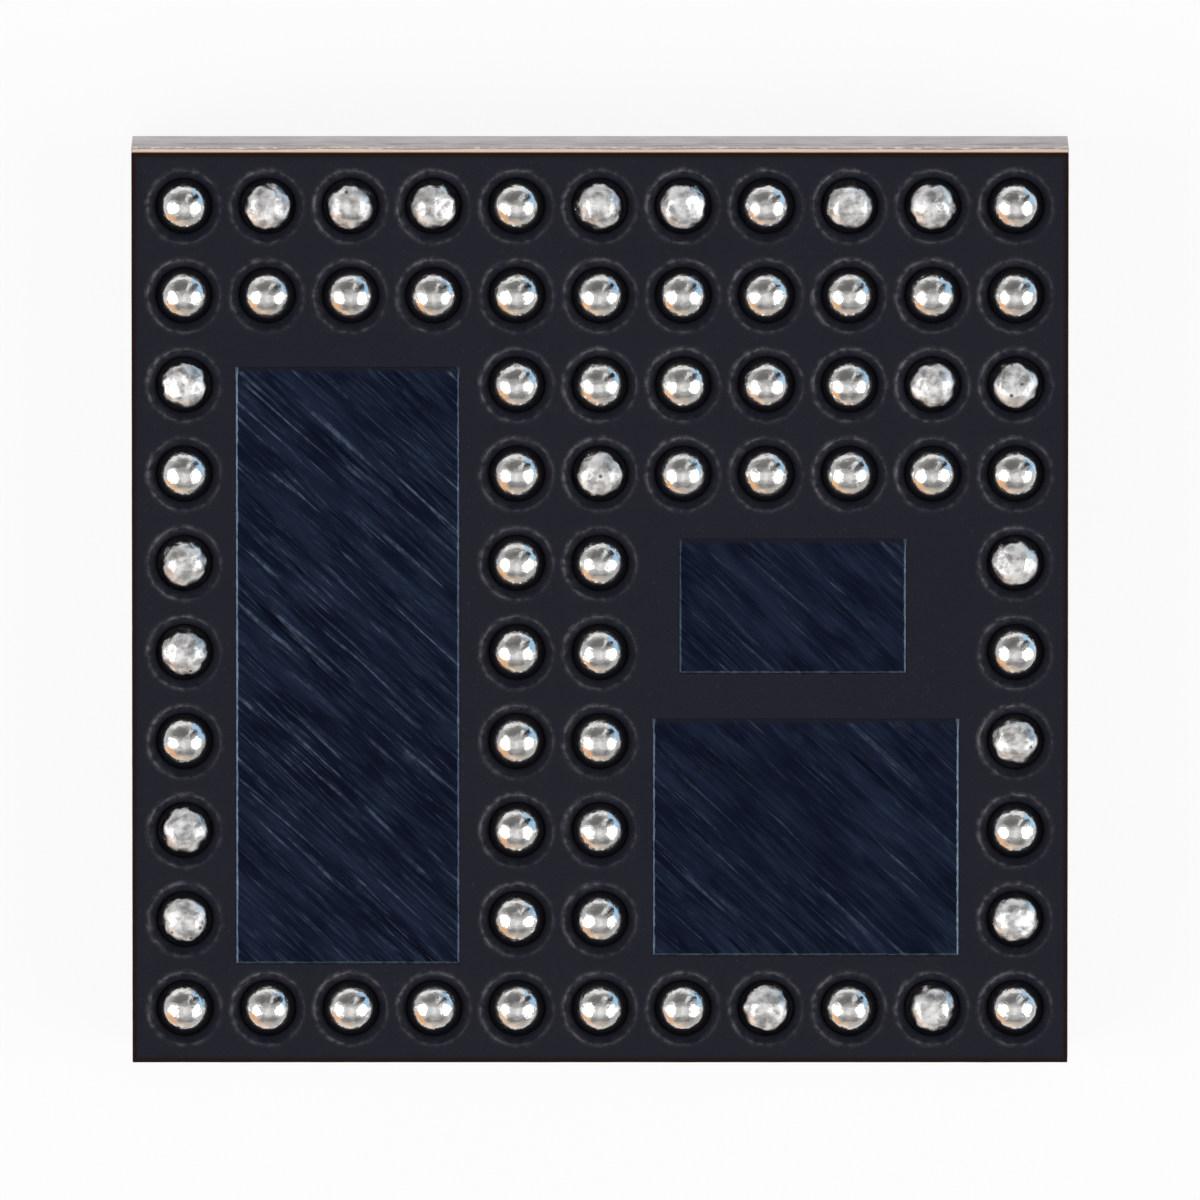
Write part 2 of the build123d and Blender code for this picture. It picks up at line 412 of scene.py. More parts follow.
class Finish:
    """A material under construction: its tree, its shader and the place on the piece in millimetres."""

    def __init__(self, name, **constants):
        self.material = bpy.data.materials.new(name)
        self.material.use_nodes = True
        self.tree = self.material.node_tree
        self.shader = self.tree.nodes["Principled BSDF"]
        for socket, value in constants.items():
            self.shader.inputs[socket.replace("_", " ")].default_value = value
        coordinates = put(self.tree, "ShaderNodeTexCoord")
        scaled = put(self.tree, "ShaderNodeVectorMath", {
            0: coordinates.outputs["Object"], "Scale": PER_MM,
        }, operation="SCALE")
        self.place = scaled.outputs[0]

    def use(self, group, output, **inputs):
        """One mask of a shared group, at this material's own values."""
        node = put(self.tree, "ShaderNodeGroup", node_tree=group)
        self.tree.links.new(self.place, node.inputs["Place"])
        for name, value in inputs.items():
            node.inputs[name].default_value = value
        return node.outputs[output]

    def axes(self):
        """Place along X, Y and Z, in millimetres."""
        return put(self.tree, "ShaderNodeSeparateXYZ", {0: self.place}).outputs

    def stretched(self, scales, detail):
        """Noise with its own number of waves per millimetre along each axis."""
        drawn = vector_calc(self.tree, "MULTIPLY", self.place, scales)
        waves = put(self.tree, "ShaderNodeTexNoise", {"Vector": drawn, "Scale": 1.0, "Detail": detail})
        return waves.outputs["Fac"]

    def painted(self, name):
        """A value painted on the piece's points."""
        return put(self.tree, "ShaderNodeAttribute", attribute_name=name).outputs["Fac"]

    def feed(self, socket, value):
        """Links a value to one of the shader's sockets."""
        self.tree.links.new(value, self.shader.inputs[socket])

    def bump(self, height, depth):
        """Relief of a given depth in metres."""
        node = put(self.tree, "ShaderNodeBump", {
            "Strength": 1.0, "Distance": depth, "Height": height,
        })
        self.feed("Normal", node.outputs[0])


# Finishes

def mould_finish():
    """Black moulding compound: fine filler, soft blotches, and a paler broken line round the holes that is
    partly a whitened edge and partly a painted highlight.
    """
    finish = Finish("black_mould", Specular_IOR_Level=0.12)
    tree = finish.tree
    grain = finish.use(GRAIN, "Grain", Fine=120.0)
    blotches = finish.use(GRAIN, "Blotches", Coarse=2.2)
    filler = finish.use(SPECKS, "Specks", Scale=34.0, Size=0.28, Share=0.10)
    body = blend(tree, grain, colour(0.0089, 0.0098, 0.0173), colour(0.0124, 0.0133, 0.0227))
    broken = finish.use(GRAIN, "Grain", Fine=20.0)
    slow = finish.use(GRAIN, "Blotches", Coarse=5.0)
    # Painted highlight on the rims and bevels, partly a whitened edge
    pale = between(tree, finish.painted("rim"), 0.0, 1.0)
    pale = product(tree, pale, graded(tree, broken, 0.20, 1.0), graded(tree, slow, 0.55, 1.0))
    x, y = finish.axes()[:2]
    from_side = calc(tree, "SUBTRACT", mould_high.x * PER_MM, calc(tree, "ABSOLUTE", x))
    from_end = calc(tree, "SUBTRACT", mould_high.y * PER_MM, calc(tree, "ABSOLUTE", y))
    # Painted shadow along the skin: the mould darkens to brown there
    border = between(tree, calc(tree, "MINIMUM", from_side, from_end), *MOULD_EDGE_SHADOW)
    finish.feed("Base Color", coated(
        tree, body, (filler, (0.018, 0.018, 0.025)), (pale, (0.150, 0.151, 0.162)),
        (border, (0.0100, 0.0030, 0.0018)),
    ))
    finish.feed("Roughness", graded(tree, blotches, 0.56, 0.66))
    finish.bump(grain, 1.0 * UM)
    return finish.material


def die_finish(name, marks):
    """Ground silicon: navy, with slanting grinding marks, as strong as given, whose pale streaks are
    painted sheen and glints, and a paler edge that is partly chipping and partly a painted highlight.
    """
    finish = Finish(name, Metallic=1.0)
    tree = finish.tree
    clouds = finish.use(GRAIN, "Blotches", Coarse=3.5)
    mottle = finish.use(GRAIN, "Grain", Fine=24.0)
    broad = finish.use(STROKES, "Strokes", Turn=GRIND_SLANT, Along=1.6, Across=12.0, From=0.40, To=0.74)
    fine = finish.use(STROKES, "Strokes", Turn=GRIND_SLANT, Along=3.2, Across=46.0, From=0.47, To=0.74)
    bright = finish.use(STROKES, "Strokes", Turn=GRIND_SLANT, Along=1.4, Across=34.0, From=0.59, To=0.72)
    dark = finish.use(STROKES, "Strokes", Turn=GRIND_SLANT, Along=1.2, Across=21.0, From=0.38, To=0.28)
    body = blend(tree, clouds, colour(0.0054, 0.0074, 0.0190), colour(0.0095, 0.0134, 0.0308))
    # The pale and bright strokes are painted sheen and glints on the real grinding marks
    fine_marks = product(tree, fine, graded(tree, mottle, 0.45, 1.0), 0.95 * marks)
    bright_marks = product(tree, bright, graded(tree, mottle, 0.40, 1.0), marks)
    smear = calc(tree, "SUBTRACT", finish.painted("dull"), product(tree, fine, 0.5))
    finish.feed("Base Color", coated(
        tree, body,
        (product(tree, mottle, 0.35), (0.0045, 0.0064, 0.0150)),
        (broad, (0.0141, 0.0213, 0.0435)),
        (fine_marks, (0.036, 0.056, 0.092)),
        (bright_marks, (0.115, 0.150, 0.225)),
        (product(tree, dark, 0.85), (0.0028, 0.0037, 0.0095)),
        (between(tree, smear, 0.05, 0.75), (0.0150, 0.0158, 0.0235)),
        # Painted highlight along the edge, partly chipping
        (finish.painted("edge"), (0.145, 0.195, 0.245)),
    ))
    finish.feed("Roughness", graded(tree, fine, 0.40, 0.30))
    finish.bump(calc(tree, "ADD", product(tree, fine, 0.4), bright), 0.5 * UM)
    return finish.material


def solder_finish():
    """Bright solder, darkened by painted shade towards its foot by the hole, pale and mottled where it is
    scuffed.
    """
    finish = Finish("solder")
    tree = finish.tree
    z = finish.axes()[2]
    grain = finish.use(GRAIN, "Grain", Fine=42.0)
    blotches = finish.use(GRAIN, "Blotches", Coarse=15.0)
    pits = finish.use(SPECKS, "Specks", Scale=17.0, Size=0.20, Share=0.13)
    scuff = finish.painted("scuff")
    clean = blend(tree, blotches, colour(0.72, 0.71, 0.69), colour(0.82, 0.81, 0.79))
    # Painted shade: the ball darkens where it sinks into its hole
    shoulder = between(tree, z, face_z * PER_MM - 0.012, face_z * PER_MM + 0.026)
    clean = blend(tree, shoulder, colour(0.30, 0.29, 0.28), clean)
    rubbed = blend(tree, blotches, colour(0.27, 0.266, 0.262), colour(1.0, 0.995, 0.99))
    rubbed = coated(
        tree, rubbed, (product(tree, grain, 0.25), (0.90, 0.89, 0.88)), (pits, (0.16, 0.155, 0.15)),
    )
    finish.feed("Base Color", blend(tree, scuff, clean, rubbed))
    finish.feed("Metallic", graded(tree, scuff, 1.0, 0.53))
    rough = graded(tree, blotches, 0.09, 0.16)
    finish.feed("Roughness", calc(tree, "ADD", rough, product(tree, scuff, 0.17)))
    fine = product(tree, grain, graded(tree, scuff, 0.06, 0.30))
    finish.bump(calc(tree, "ADD", fine, product(tree, blotches, 0.7)), 2.2 * UM)
    return finish.material


def dot_mask(tree, across, up, half_width, half_height):
    """1 inside an ellipse round the origin, 0 outside."""
    wide = calc(tree, "POWER", calc(tree, "DIVIDE", across, half_width), 2.0)
    high = calc(tree, "POWER", calc(tree, "DIVIDE", up, half_height), 2.0)
    return between(tree, calc(tree, "ADD", wide, high), 1 + DOT_SOFTNESS, 1 - DOT_SOFTNESS)


def within(tree, value, low, high):
    """1 between two values, 0 outside."""
    return product(tree, calc(tree, "GREATER_THAN", value, low), calc(tree, "LESS_THAN", value, high))


def near_height(tree, z, height, far, near):
    """1 within a near distance of a height, 0 beyond a far one."""
    return between(tree, calc(tree, "ABSOLUTE", calc(tree, "SUBTRACT", z, height)), far, near)


def pin_mark(tree, x, y):
    """A round hatched mark at one corner, with two pale bars across it."""
    across = calc(tree, "SUBTRACT", x, PIN_MARK[0])
    up = calc(tree, "SUBTRACT", y, PIN_MARK[1])
    disc = dot_mask(tree, across, up, PIN_MARK_RADIUS, PIN_MARK_RADIUS)
    side = product(tree, calc(tree, "ADD", across, up), math.sqrt(0.5))
    along = product(tree, calc(tree, "SUBTRACT", across, up), math.sqrt(0.5))
    off_bar = calc(tree, "SUBTRACT", calc(tree, "ABSOLUTE", side), PIN_BAR_OFFSET)
    half_width, half_length = PIN_BAR_SIZE
    bar = between(tree, calc(tree, "ABSOLUTE", off_bar), half_width, half_width * PIN_BAR_CORE)
    bar = product(tree, bar, calc(tree, "LESS_THAN", calc(tree, "ABSOLUTE", along), half_length))
    hatch = between(tree, calc(tree, "SINE", product(tree, side, PIN_HATCH)), -1.0, 1.0, 0.62, 1.0)
    open_part = calc(tree, "SUBTRACT", 1.0, product(tree, bar, 0.9))
    return product(tree, disc, hatch, open_part)


def dot_field(tree, x, y):
    """A square field of dots, of which chance leaves about half out."""
    column = calc(tree, "DIVIDE", calc(tree, "SUBTRACT", x, DOT_FIELD[0]), DOT_CELL)
    row = calc(tree, "DIVIDE", calc(tree, "SUBTRACT", y, DOT_FIELD[1]), DOT_CELL)
    cell = put(tree, "ShaderNodeCombineXYZ", {0: calc(tree, "FLOOR", column), 1: calc(tree, "FLOOR", row)})
    chance = put(tree, "ShaderNodeTexWhiteNoise", {"Vector": cell.outputs[0]}, noise_dimensions="2D")
    across = calc(tree, "SUBTRACT", calc(tree, "FRACT", column), 0.5)
    up = calc(tree, "SUBTRACT", calc(tree, "FRACT", row), 0.5)
    dot = dot_mask(tree, across, up, *DOT_SIZE)
    drawn = calc(tree, "LESS_THAN", chance.outputs["Value"], DOT_SHARE)
    inside_field = product(tree, within(tree, column, 0, DOT_CELLS), within(tree, row, 0, DOT_CELLS))
    return product(tree, dot, drawn, inside_field)


def fence_dots(tree, x, y):
    """The ends of the fence wires, which show through the skin as a U of fine dots."""
    low, high = (corner * PER_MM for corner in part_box("fence_wires"))
    middle, radius = (low.x + high.x) / 2, FENCE_DOT_RADIUS
    from_middle = calc(tree, "SUBTRACT", x, middle)
    from_top = calc(tree, "SUBTRACT", high.y - radius, y)
    side = calc(tree, "SUBTRACT", calc(tree, "ABSOLUTE", from_middle), (high.x - low.x) / 2 - radius)
    down = calc(tree, "PINGPONG", from_top, FENCE_PITCH / 2)
    on_side = within(tree, from_top, FENCE_PITCH / 2, high.y - low.y)
    sides = product(tree, dot_mask(tree, side, down, radius, radius), on_side)
    along = calc(tree, "PINGPONG", from_middle, FENCE_TOP_PITCH / 2)
    half_top = FENCE_TOP_DOTS / 2 * FENCE_TOP_PITCH
    on_top = within(tree, from_middle, -half_top, half_top)
    top = product(tree, dot_mask(tree, along, from_top, radius, radius), on_top)
    return calc(tree, "MAXIMUM", sides, top)


def steel_wall(finish, z, grain):
    """Colour of the steel walls: streaked by the saw, with dark smudges and pale specks, and painted light
    that makes them paler towards the shielded face.
    """
    tree = finish.tree
    small = finish.use(GRAIN, "Grain", Fine=17.0)
    saw_lines = between(tree, finish.stretched((0.7, 0.7, 24.0), 2.0), 0.35, 0.65)
    smears = between(tree, finish.stretched((3.2, 3.2, 13.0), 3.0), 0.44, 0.66)
    smudges = product(tree, near_height(tree, z, *SMUDGES), smears, 0.68)
    specks = product(tree, near_height(tree, z, *PALE_SPECKS), between(tree, small, 0.62, 0.90), 0.75)
    # Painted light: the walls are paler low down, by the shielded face, and darker higher up
    low_down, high_up = colour(0.47, 0.425, 0.425), colour(0.40, 0.345, 0.350)
    return coated(
        tree, blend(tree, between(tree, z, 0.0, 0.45), low_down, high_up),
        (product(tree, saw_lines, 0.45), (0.52, 0.475, 0.475)),
        (product(tree, grain, 0.25), (0.30, 0.27, 0.27)),
        (smudges, (0.14, 0.138, 0.132)),
        (specks, (0.82, 0.77, 0.73)),
    )


def steel_face(finish, x, y, grain, blotches):
    """Colour of the shielded face: sparkling grain with painted glints, and burnt laser marks."""
    tree = finish.tree
    sparkle = finish.use(GRAIN, "Grain", Fine=30.0)
    # Painted glints: small bright specks that stand in for sparkle
    glints = finish.use(SPECKS, "Specks", Scale=30.0, Size=0.30, Share=0.10)
    bare = coated(
        tree, blend(tree, sparkle, colour(0.47, 0.46, 0.447), colour(0.68, 0.67, 0.655)),
        (product(tree, blotches, 0.15), (0.48, 0.465, 0.45)),
        (product(tree, glints, 0.6), (0.88, 0.87, 0.85)),
    )
    marks = calc(tree, "MAXIMUM", pin_mark(tree, x, y), dot_field(tree, x, y))
    marks = calc(tree, "MAXIMUM", marks, product(tree, fence_dots(tree, x, y), 0.75))
    burnt = blend(tree, grain, colour(0.075, 0.062, 0.057), colour(0.145, 0.120, 0.112))
    return blend(tree, product(tree, marks, 0.92), bare, burnt)


def steel_finish():
    """Sputtered steel on the shielded face and the walls."""
    finish = Finish("sputtered_steel", Metallic=1.0)
    tree = finish.tree
    x, y, z = finish.axes()
    grain = finish.use(GRAIN, "Grain", Fine=85.0)
    blotches = finish.use(GRAIN, "Blotches", Coarse=5.0)
    face, wall = steel_face(finish, x, y, grain, blotches), steel_wall(finish, z, grain)
    finish.feed("Base Color", blend(tree, between(tree, z, *WALL_START), face, wall))
    finish.feed("Roughness", graded(tree, blotches, 0.38, 0.50))
    finish.bump(grain, 1.5 * UM)
    return finish.material


def copper_finish():
    """Bare copper along the rim: rubbed pale, tan towards the mould and dark on its cut edge."""
    finish = Finish("bare_copper", Metallic=1.0)
    tree = finish.tree
    z = finish.axes()[2]
    top = face_z * PER_MM
    grain = finish.use(GRAIN, "Grain", Fine=60.0)
    blotches = finish.use(GRAIN, "Blotches", Coarse=6.0)
    rubbed = blend(tree, blotches, colour(0.72, 0.54, 0.41), colour(0.86, 0.70, 0.56))
    tan = between(tree, z, top - 0.085, top - 0.035)
    cut_edge = between(tree, z, top - 0.022, top - 0.004)
    finish.feed("Base Color", coated(
        tree, rubbed, (product(tree, grain, 0.3), (0.56, 0.40, 0.30)), (tan, (0.44, 0.20, 0.095)),
        (cut_edge, (0.040, 0.014, 0.007)),
    ))
    finish.feed("Roughness", graded(tree, blotches, 0.36, 0.48))
    finish.bump(grain, 1.0 * UM)
    return finish.material


def hidden_finish(name, dark, light, metallic, scale):
    """Plain grained finish of a piece that the skin and the mould hide."""
    finish = Finish(name, Metallic=metallic, Roughness=0.5)
    grain = finish.use(GRAIN, "Grain", Fine=scale)
    finish.feed("Base Color", blend(finish.tree, grain, colour(*dark), colour(*light)))
    finish.bump(grain, 1.0 * UM)
    return finish.material


# Meshes

def new_piece(name, mesh, material, slot, *nodes):
    """Puts a finished mesh in the scene in place of the solids that it stands for."""
    piece = bpy.data.objects.new(name, mesh)
    bpy.context.scene.collection.objects.link(piece)
    if not mesh.materials:
        mesh.materials.append(material)
    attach(piece, "root")
    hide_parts(*nodes)
    return piece


def mesh_of(bm, name):
    """Ends a bmesh: normals outwards, then a plain mesh."""
    bmesh.ops.recalc_face_normals(bm, faces=bm.faces)
    mesh = bpy.data.meshes.new(name)
    bm.to_mesh(mesh)
    bm.free()
    return mesh


def join_rings(bm, upper, lower, smooth=True):
    """A closed band of faces between two rings of as many points."""
    count = len(upper)
    for k in range(count):
        n = (k + 1) % count
        face = bm.faces.new((upper[k], upper[n], lower[n], lower[k]))
        face.smooth = smooth


def fill_flat(bm, ring):
    """Closes a flat ring of many points by fans of faces to ever fewer points, without slivers."""
    middle = sum((point.co for point in ring), Vector()) / len(ring)
    for share in FILL_SHARES:
        inner = [bm.verts.new(middle.lerp(point.co, share)) for point in ring[::FILL_FAN]]
        for k, hub in enumerate(inner):
            start = k * FILL_FAN
            fan = (ring + ring[:1])[start:start + FILL_FAN + 1]
            for first, second in zip(fan, fan[1:]):
                bm.faces.new((hub, first, second))
            bm.faces.new((hub, fan[-1], inner[(k + 1) % len(inner)]))
        ring = inner
    hub = bm.verts.new(middle)
    for first, second in zip(ring, ring[1:] + ring[:1]):
        bm.faces.new((hub, first, second))


def circle(bm, x, y, z, radius, sides=BALL_SIDES, unevenness=0.0):
    """A ring of points round an upright axis."""
    ring = []
    for k in range(sides):
        angle = math.tau * k / sides
        r = radius + unevenness * rng.uniform(-1, 1)
        ring.append(bm.verts.new((x + r * math.cos(angle), y + r * math.sin(angle), z)))
    return ring


def ball_profile():
    """(radius, height) of a ball's rings from the hole's mouth up: a steep flank, then a round dome."""
    knee = DOME_RADIUS * math.sqrt(0.5)
    start, end = Vector((knee, dome_centre_z + knee)), Vector((hole_radius, bevel_z))
    bend = start + Vector((FLANK_BEND, -FLANK_BEND))
    rings = []
    for k in range(FLANK_RINGS):
        share = k / FLANK_RINGS
        first, second = end.lerp(bend, share), bend.lerp(start, share)
        rings.append(first.lerp(second, share))
    for k in range(DOME_RINGS):
        angle = math.radians(45) * (1 - k / DOME_RINGS)
        rings.append((DOME_RADIUS * math.sin(angle), dome_centre_z + DOME_RADIUS * math.cos(angle)))
    return rings


def ball_mesh():
    """One ball about its own axis: a shank that fills the hole, and a dome over it."""
    bm = bmesh.new()
    foot = circle(bm, 0, 0, seat_z, hole_radius)
    bm.faces.new(reversed(foot))
    lower = foot
    for radius, z in ball_profile():
        upper = circle(bm, 0, 0, z, radius)
        join_rings(bm, upper, lower)
        lower = upper
    tip = bm.verts.new((0, 0, dome_centre_z + DOME_RADIUS))
    for k in range(BALL_SIDES):
        face = bm.faces.new((lower[k], lower[(k + 1) % BALL_SIDES], tip))
        face.smooth = True
    return mesh_of(bm, "one_ball")


def ball_tree():
    """Geometry nodes that set a ball on every point, turn it, dent it, and press the worn ones flat."""
    tree = bpy.data.node_groups.new("ball_grid", "GeometryNodeTree")
    sockets = (
        ("Places", "NodeSocketGeometry"), ("Ball", "NodeSocketObject"),
        ("Finish", "NodeSocketMaterial"), ("Radius", "NodeSocketFloat"),
        ("Dent Depth", "NodeSocketFloat"), ("Lump Depth", "NodeSocketFloat"),
        ("Spread", "NodeSocketFloat"), ("Shoulder", "NodeSocketFloat"), ("Seed", "NodeSocketInt"),
    )
    for name, kind in sockets:
        tree.interface.new_socket(name, in_out="INPUT", socket_type=kind)
    tree.interface.new_socket("Balls", in_out="OUTPUT", socket_type="NodeSocketGeometry")
    given = put(tree, "NodeGroupInput").outputs
    out = put(tree, "NodeGroupOutput")

    def named(name, kind="FLOAT"):
        return put(tree, "GeometryNodeInputNamedAttribute", {"Name": name}, data_type=kind).outputs[0]

    def along(vector, length):
        return put(tree, "ShaderNodeVectorMath", {0: vector, "Scale": length}, operation="SCALE").outputs[0]

    one_ball = put(tree, "GeometryNodeObjectInfo", {"Object": given["Ball"], "As Instance": True})
    turn = put(tree, "FunctionNodeRandomValue", {
        "Min": (0, 0, 0), "Max": (0, 0, math.tau), "Seed": given["Seed"],
    }, data_type="FLOAT_VECTOR")
    set_out = put(tree, "GeometryNodeInstanceOnPoints", {
        "Points": given["Places"], "Instance": one_ball.outputs["Geometry"],
        "Rotation": turn.outputs["Value"],
    })
    shape = put(tree, "GeometryNodeRealizeInstances", {"Geometry": set_out.outputs[0]}).outputs[0]

    position = put(tree, "GeometryNodeInputPosition").outputs[0]
    in_mm = along(position, PER_MM)
    slow, lumps = (
        put(tree, "ShaderNodeTexNoise", {"Vector": in_mm, "Scale": scale, "Detail": 1.0}).outputs["Fac"]
        for scale in (DENT_SCALE, LUMP_SCALE)
    )
    height = put(tree, "ShaderNodeSeparateXYZ", {0: position}).outputs["Z"]
    above = product(tree, calc(tree, "SUBTRACT", height, given["Shoulder"]), PER_MM)
    on_dome, on_top = between(tree, above, *DOME_FADE), between(tree, above, *SCUFF_FADE)
    worn = named("worn")
    from_centre = vector_calc(tree, "SUBTRACT", position, named("centre", "FLOAT_VECTOR"))

    def moved(shape, direction, length):
        offset = along(direction, length)
        return put(tree, "GeometryNodeSetPosition", {"Geometry": shape, "Offset": offset}).outputs[0]

    scuffed = product(tree, worn, on_top, between(tree, lumps, *SCUFF_LUMPS, SCUFF_LEAST))
    shape = put(tree, "GeometryNodeStoreNamedAttribute", {
        "Geometry": shape, "Name": "scuff", "Value": scuffed,
    }, data_type="FLOAT", domain="POINT").outputs[0]
    outward = vector_calc(tree, "MULTIPLY", from_centre, (1, 1, 0))
    swelling = between(tree, lumps, *SWELL_LUMPS, *SWELL_RANGE)
    shape = moved(shape, outward, product(tree, worn, given["Spread"], on_dome, swelling))
    for press in range(len(PRESS_DEPTHS)):
        axis, depth = named(f"axis_{press}", "FLOAT_VECTOR"), named(f"depth_{press}")
        reach = vector_calc(tree, "DOT_PRODUCT", from_centre, axis)
        flat = calc(tree, "SUBTRACT", given["Radius"], depth)
        proud = calc(tree, "MAXIMUM", calc(tree, "SUBTRACT", reach, flat), 0.0)
        shape = moved(shape, axis, product(tree, proud, between(tree, slow, 0.2, 0.8, *PRESS_GIVE)))
    normal = put(tree, "GeometryNodeInputNormal").outputs[0]
    dent = product(tree, slow, given["Dent Depth"])
    lump = product(tree, lumps, given["Lump Depth"], worn)
    shape = moved(shape, normal, product(tree, calc(tree, "ADD", dent, lump), on_dome, -1.0))
    finished = put(tree, "GeometryNodeSetMaterial", {"Geometry": shape, "Material": given["Finish"]})
    tree.links.new(finished.outputs[0], out.inputs[0])
    return tree


def plain_mesh(carrier, name):
    """The evaluated result of an object's modifiers as a mesh of its own."""
    graph = bpy.context.evaluated_depsgraph_get()
    mesh = bpy.data.meshes.new_from_object(
        carrier.evaluated_get(graph), preserve_all_data_layers=True, depsgraph=graph
    )
    mesh.name = name
    return mesh


def drop(*objects):
    """Removes helper objects."""
    for helper in objects:
        bpy.data.objects.remove(helper)


def press_marks(worn):
    """Depth and direction of each flat that is pressed into one ball."""
    marks = []
    for (least, most), slant in zip(PRESS_DEPTHS, PRESS_SLANTS):
        tilt = math.radians(slant) * rng.uniform(*PRESS_TILTS)
        axis = heading(tilt, rng.uniform(0, math.tau))
        marks.append((rng.uniform(least, most) if worn else 0.0, axis))
    return marks


def ball_points():
    """A point for every ball, which carries its centre and its press marks."""
    points = bpy.data.meshes.new("ball_points")
    points.from_pydata([(tip.x, tip.y, 0) for row, column, tip in balls], [], [])
    centre = points.attributes.new("centre", "FLOAT_VECTOR", "POINT").data
    for k, (row, column, tip) in enumerate(balls):
        centre[k].vector = (tip.x, tip.y, dome_centre_z)
    worn = [column in WORN_BALLS.get(row, ()) for row, column, tip in balls]
    points.attributes.new("worn", "FLOAT", "POINT").data.foreach_set("value", [float(w) for w in worn])
    marks = [press_marks(w) for w in worn]
    for press in range(len(PRESS_DEPTHS)):
        depth = points.attributes.new(f"depth_{press}", "FLOAT", "POINT")
        depth.data.foreach_set("value", [mark[press][0] for mark in marks])
        axis = points.attributes.new(f"axis_{press}", "FLOAT_VECTOR", "POINT")
        axis.data.foreach_set("vector", [part for mark in marks for part in mark[press][1]])
    return points


def solder_balls(material):
    """All balls, set out by geometry nodes on points that say how each of them is worn."""
    collection = bpy.context.scene.collection
    carrier = bpy.data.objects.new("ball_carrier", ball_points())
    template = bpy.data.objects.new("ball_template", ball_mesh())
    collection.objects.link(carrier)
    collection.objects.link(template)

    tree = ball_tree()
    modifier = carrier.modifiers.new("ball_grid", "NODES")
    modifier.node_group = tree
    values = {
        "Ball": template, "Finish": material, "Radius": DOME_RADIUS, "Dent Depth": DENT_DEPTH,
        "Lump Depth": LUMP_DEPTH, "Spread": PRESS_SPREAD, "Shoulder": bevel_z, "Seed": BALL_SEED,
    }
    for item in tree.interface.items_tree:
        if item.in_out == "INPUT" and item.name in values:
            modifier[item.identifier] = values[item.name]
    mesh = plain_mesh(carrier, "solder_balls")
    drop(carrier, template)
    return new_piece("solder_balls", mesh, material, "solder", *row_nodes)


class FlatSheet:
    """Points of the mould's two flat sides, shared by the faces that meet there."""

    def __init__(self, bm):
        self.bm = bm
        self.points = {}

    def at(self, x, y, z):
        """The point at a place, made when it is first asked for."""
        key = (round(x / POINT_GRID), round(y / POINT_GRID), round(z / POINT_GRID))
        if key not in self.points:
            self.points[key] = self.bm.verts.new((x, y, z))
        return self.points[key]


def cuts(low, high, middles, half, edges):
    """Sorted lines across the mould: its borders, the borders of the ball cells and the dies' edges."""
    lines = [low, high, *edges]
    for middle in middles:
        lines += [middle - half, middle + half]
    kept = []
    for line in sorted(lines):
        if not kept or line - kept[-1] > SAME_LINE:
            kept.append(line)
    return kept


def inside(x, y, low, high):
    """Whether a place lies in a box, seen from above."""
    return low.x < x < high.x and low.y < y < high.y


def cell_border(sheet, tip, z, lines_x, lines_y):
    """Points on the four sides of a ball's cell, each side from corner to corner, anticlockwise from +X."""
    half_x, half_y = column_pitch / 2 + CELL_SLACK, row_pitch / 2 + CELL_SLACK
    xs = [x for x in lines_x if abs(x - tip.x) < half_x]
    ys = [y for y in lines_y if abs(y - tip.y) < half_y]
    sides = (
        [(xs[-1], y) for y in ys], [(x, ys[-1]) for x in reversed(xs)],
        [(xs[0], y) for y in reversed(ys)], [(x, ys[0]) for x in xs],
    )
    return [[sheet.at(x, y, z) for x, y in side] for side in sides]


def fill_cell(bm, sides, ring):
    """Flat faces between a ball's hole and the border of its cell."""
    quarter = len(ring) // 4
    for s, side in enumerate(sides):
        middle = ring[s * quarter]
        for first, second in zip(side, side[1:]):
            bm.faces.new((middle, first, second))
        corner = side[-1]
        for k in range(s * quarter, (s + 1) * quarter):
            bm.faces.new((ring[k], corner, ring[(k + 1) % len(ring)]))


def lip_light(step):
    """How bright a hole's rim is painted at one of its points: more to one side, as painted light."""
    away = math.tau * step / BALL_SIDES - LIP_BRIGHT_SIDE
    return LIP_DIM_SIDE + (1 - LIP_DIM_SIDE) * (0.5 + 0.5 * math.cos(away))


def ball_hole(bm, sheet, rim, tip, lines_x, lines_y):
    """One hole through the mould, from its lip down an uneven bevel to its foot, in its flat cell."""
    outer = None
    for (beyond, height), paleness in zip(MOUTH_LIP, LIP_PALENESS):
        ring = circle(bm, tip.x, tip.y, face_z + height, RIM_RADIUS + beyond)
        for k, point in enumerate(ring):
            point[rim] = paleness * lip_light(k) * rng.uniform(*LIP_BREAKS)
        if outer:
            join_rings(bm, outer, ring)
        else:
            fill_cell(bm, cell_border(sheet, tip, face_z, lines_x, lines_y), ring)
        outer = ring
    for k in range(1, BEVEL_RINGS + 1):
        share = k / BEVEL_RINGS
        uneven = BEVEL_ROUGHNESS if k < BEVEL_RINGS else 0.0
        radius = RIM_RADIUS + (hole_radius - RIM_RADIUS) * share
        ring = circle(bm, tip.x, tip.y, face_z - BEVEL_DEPTH * share, radius, unevenness=uneven)
        for n, point in enumerate(ring):
            point[rim] = BEVEL_PALENESS * (1 - share) * lip_light(n) * rng.uniform(*BEVEL_BREAKS)
        join_rings(bm, outer, ring)
        outer = ring
    foot = circle(bm, tip.x, tip.y, seat_z, hole_radius)
    join_rings(bm, outer, foot)
    fill_cell(bm, cell_border(sheet, tip, seat_z, lines_x, lines_y), foot)


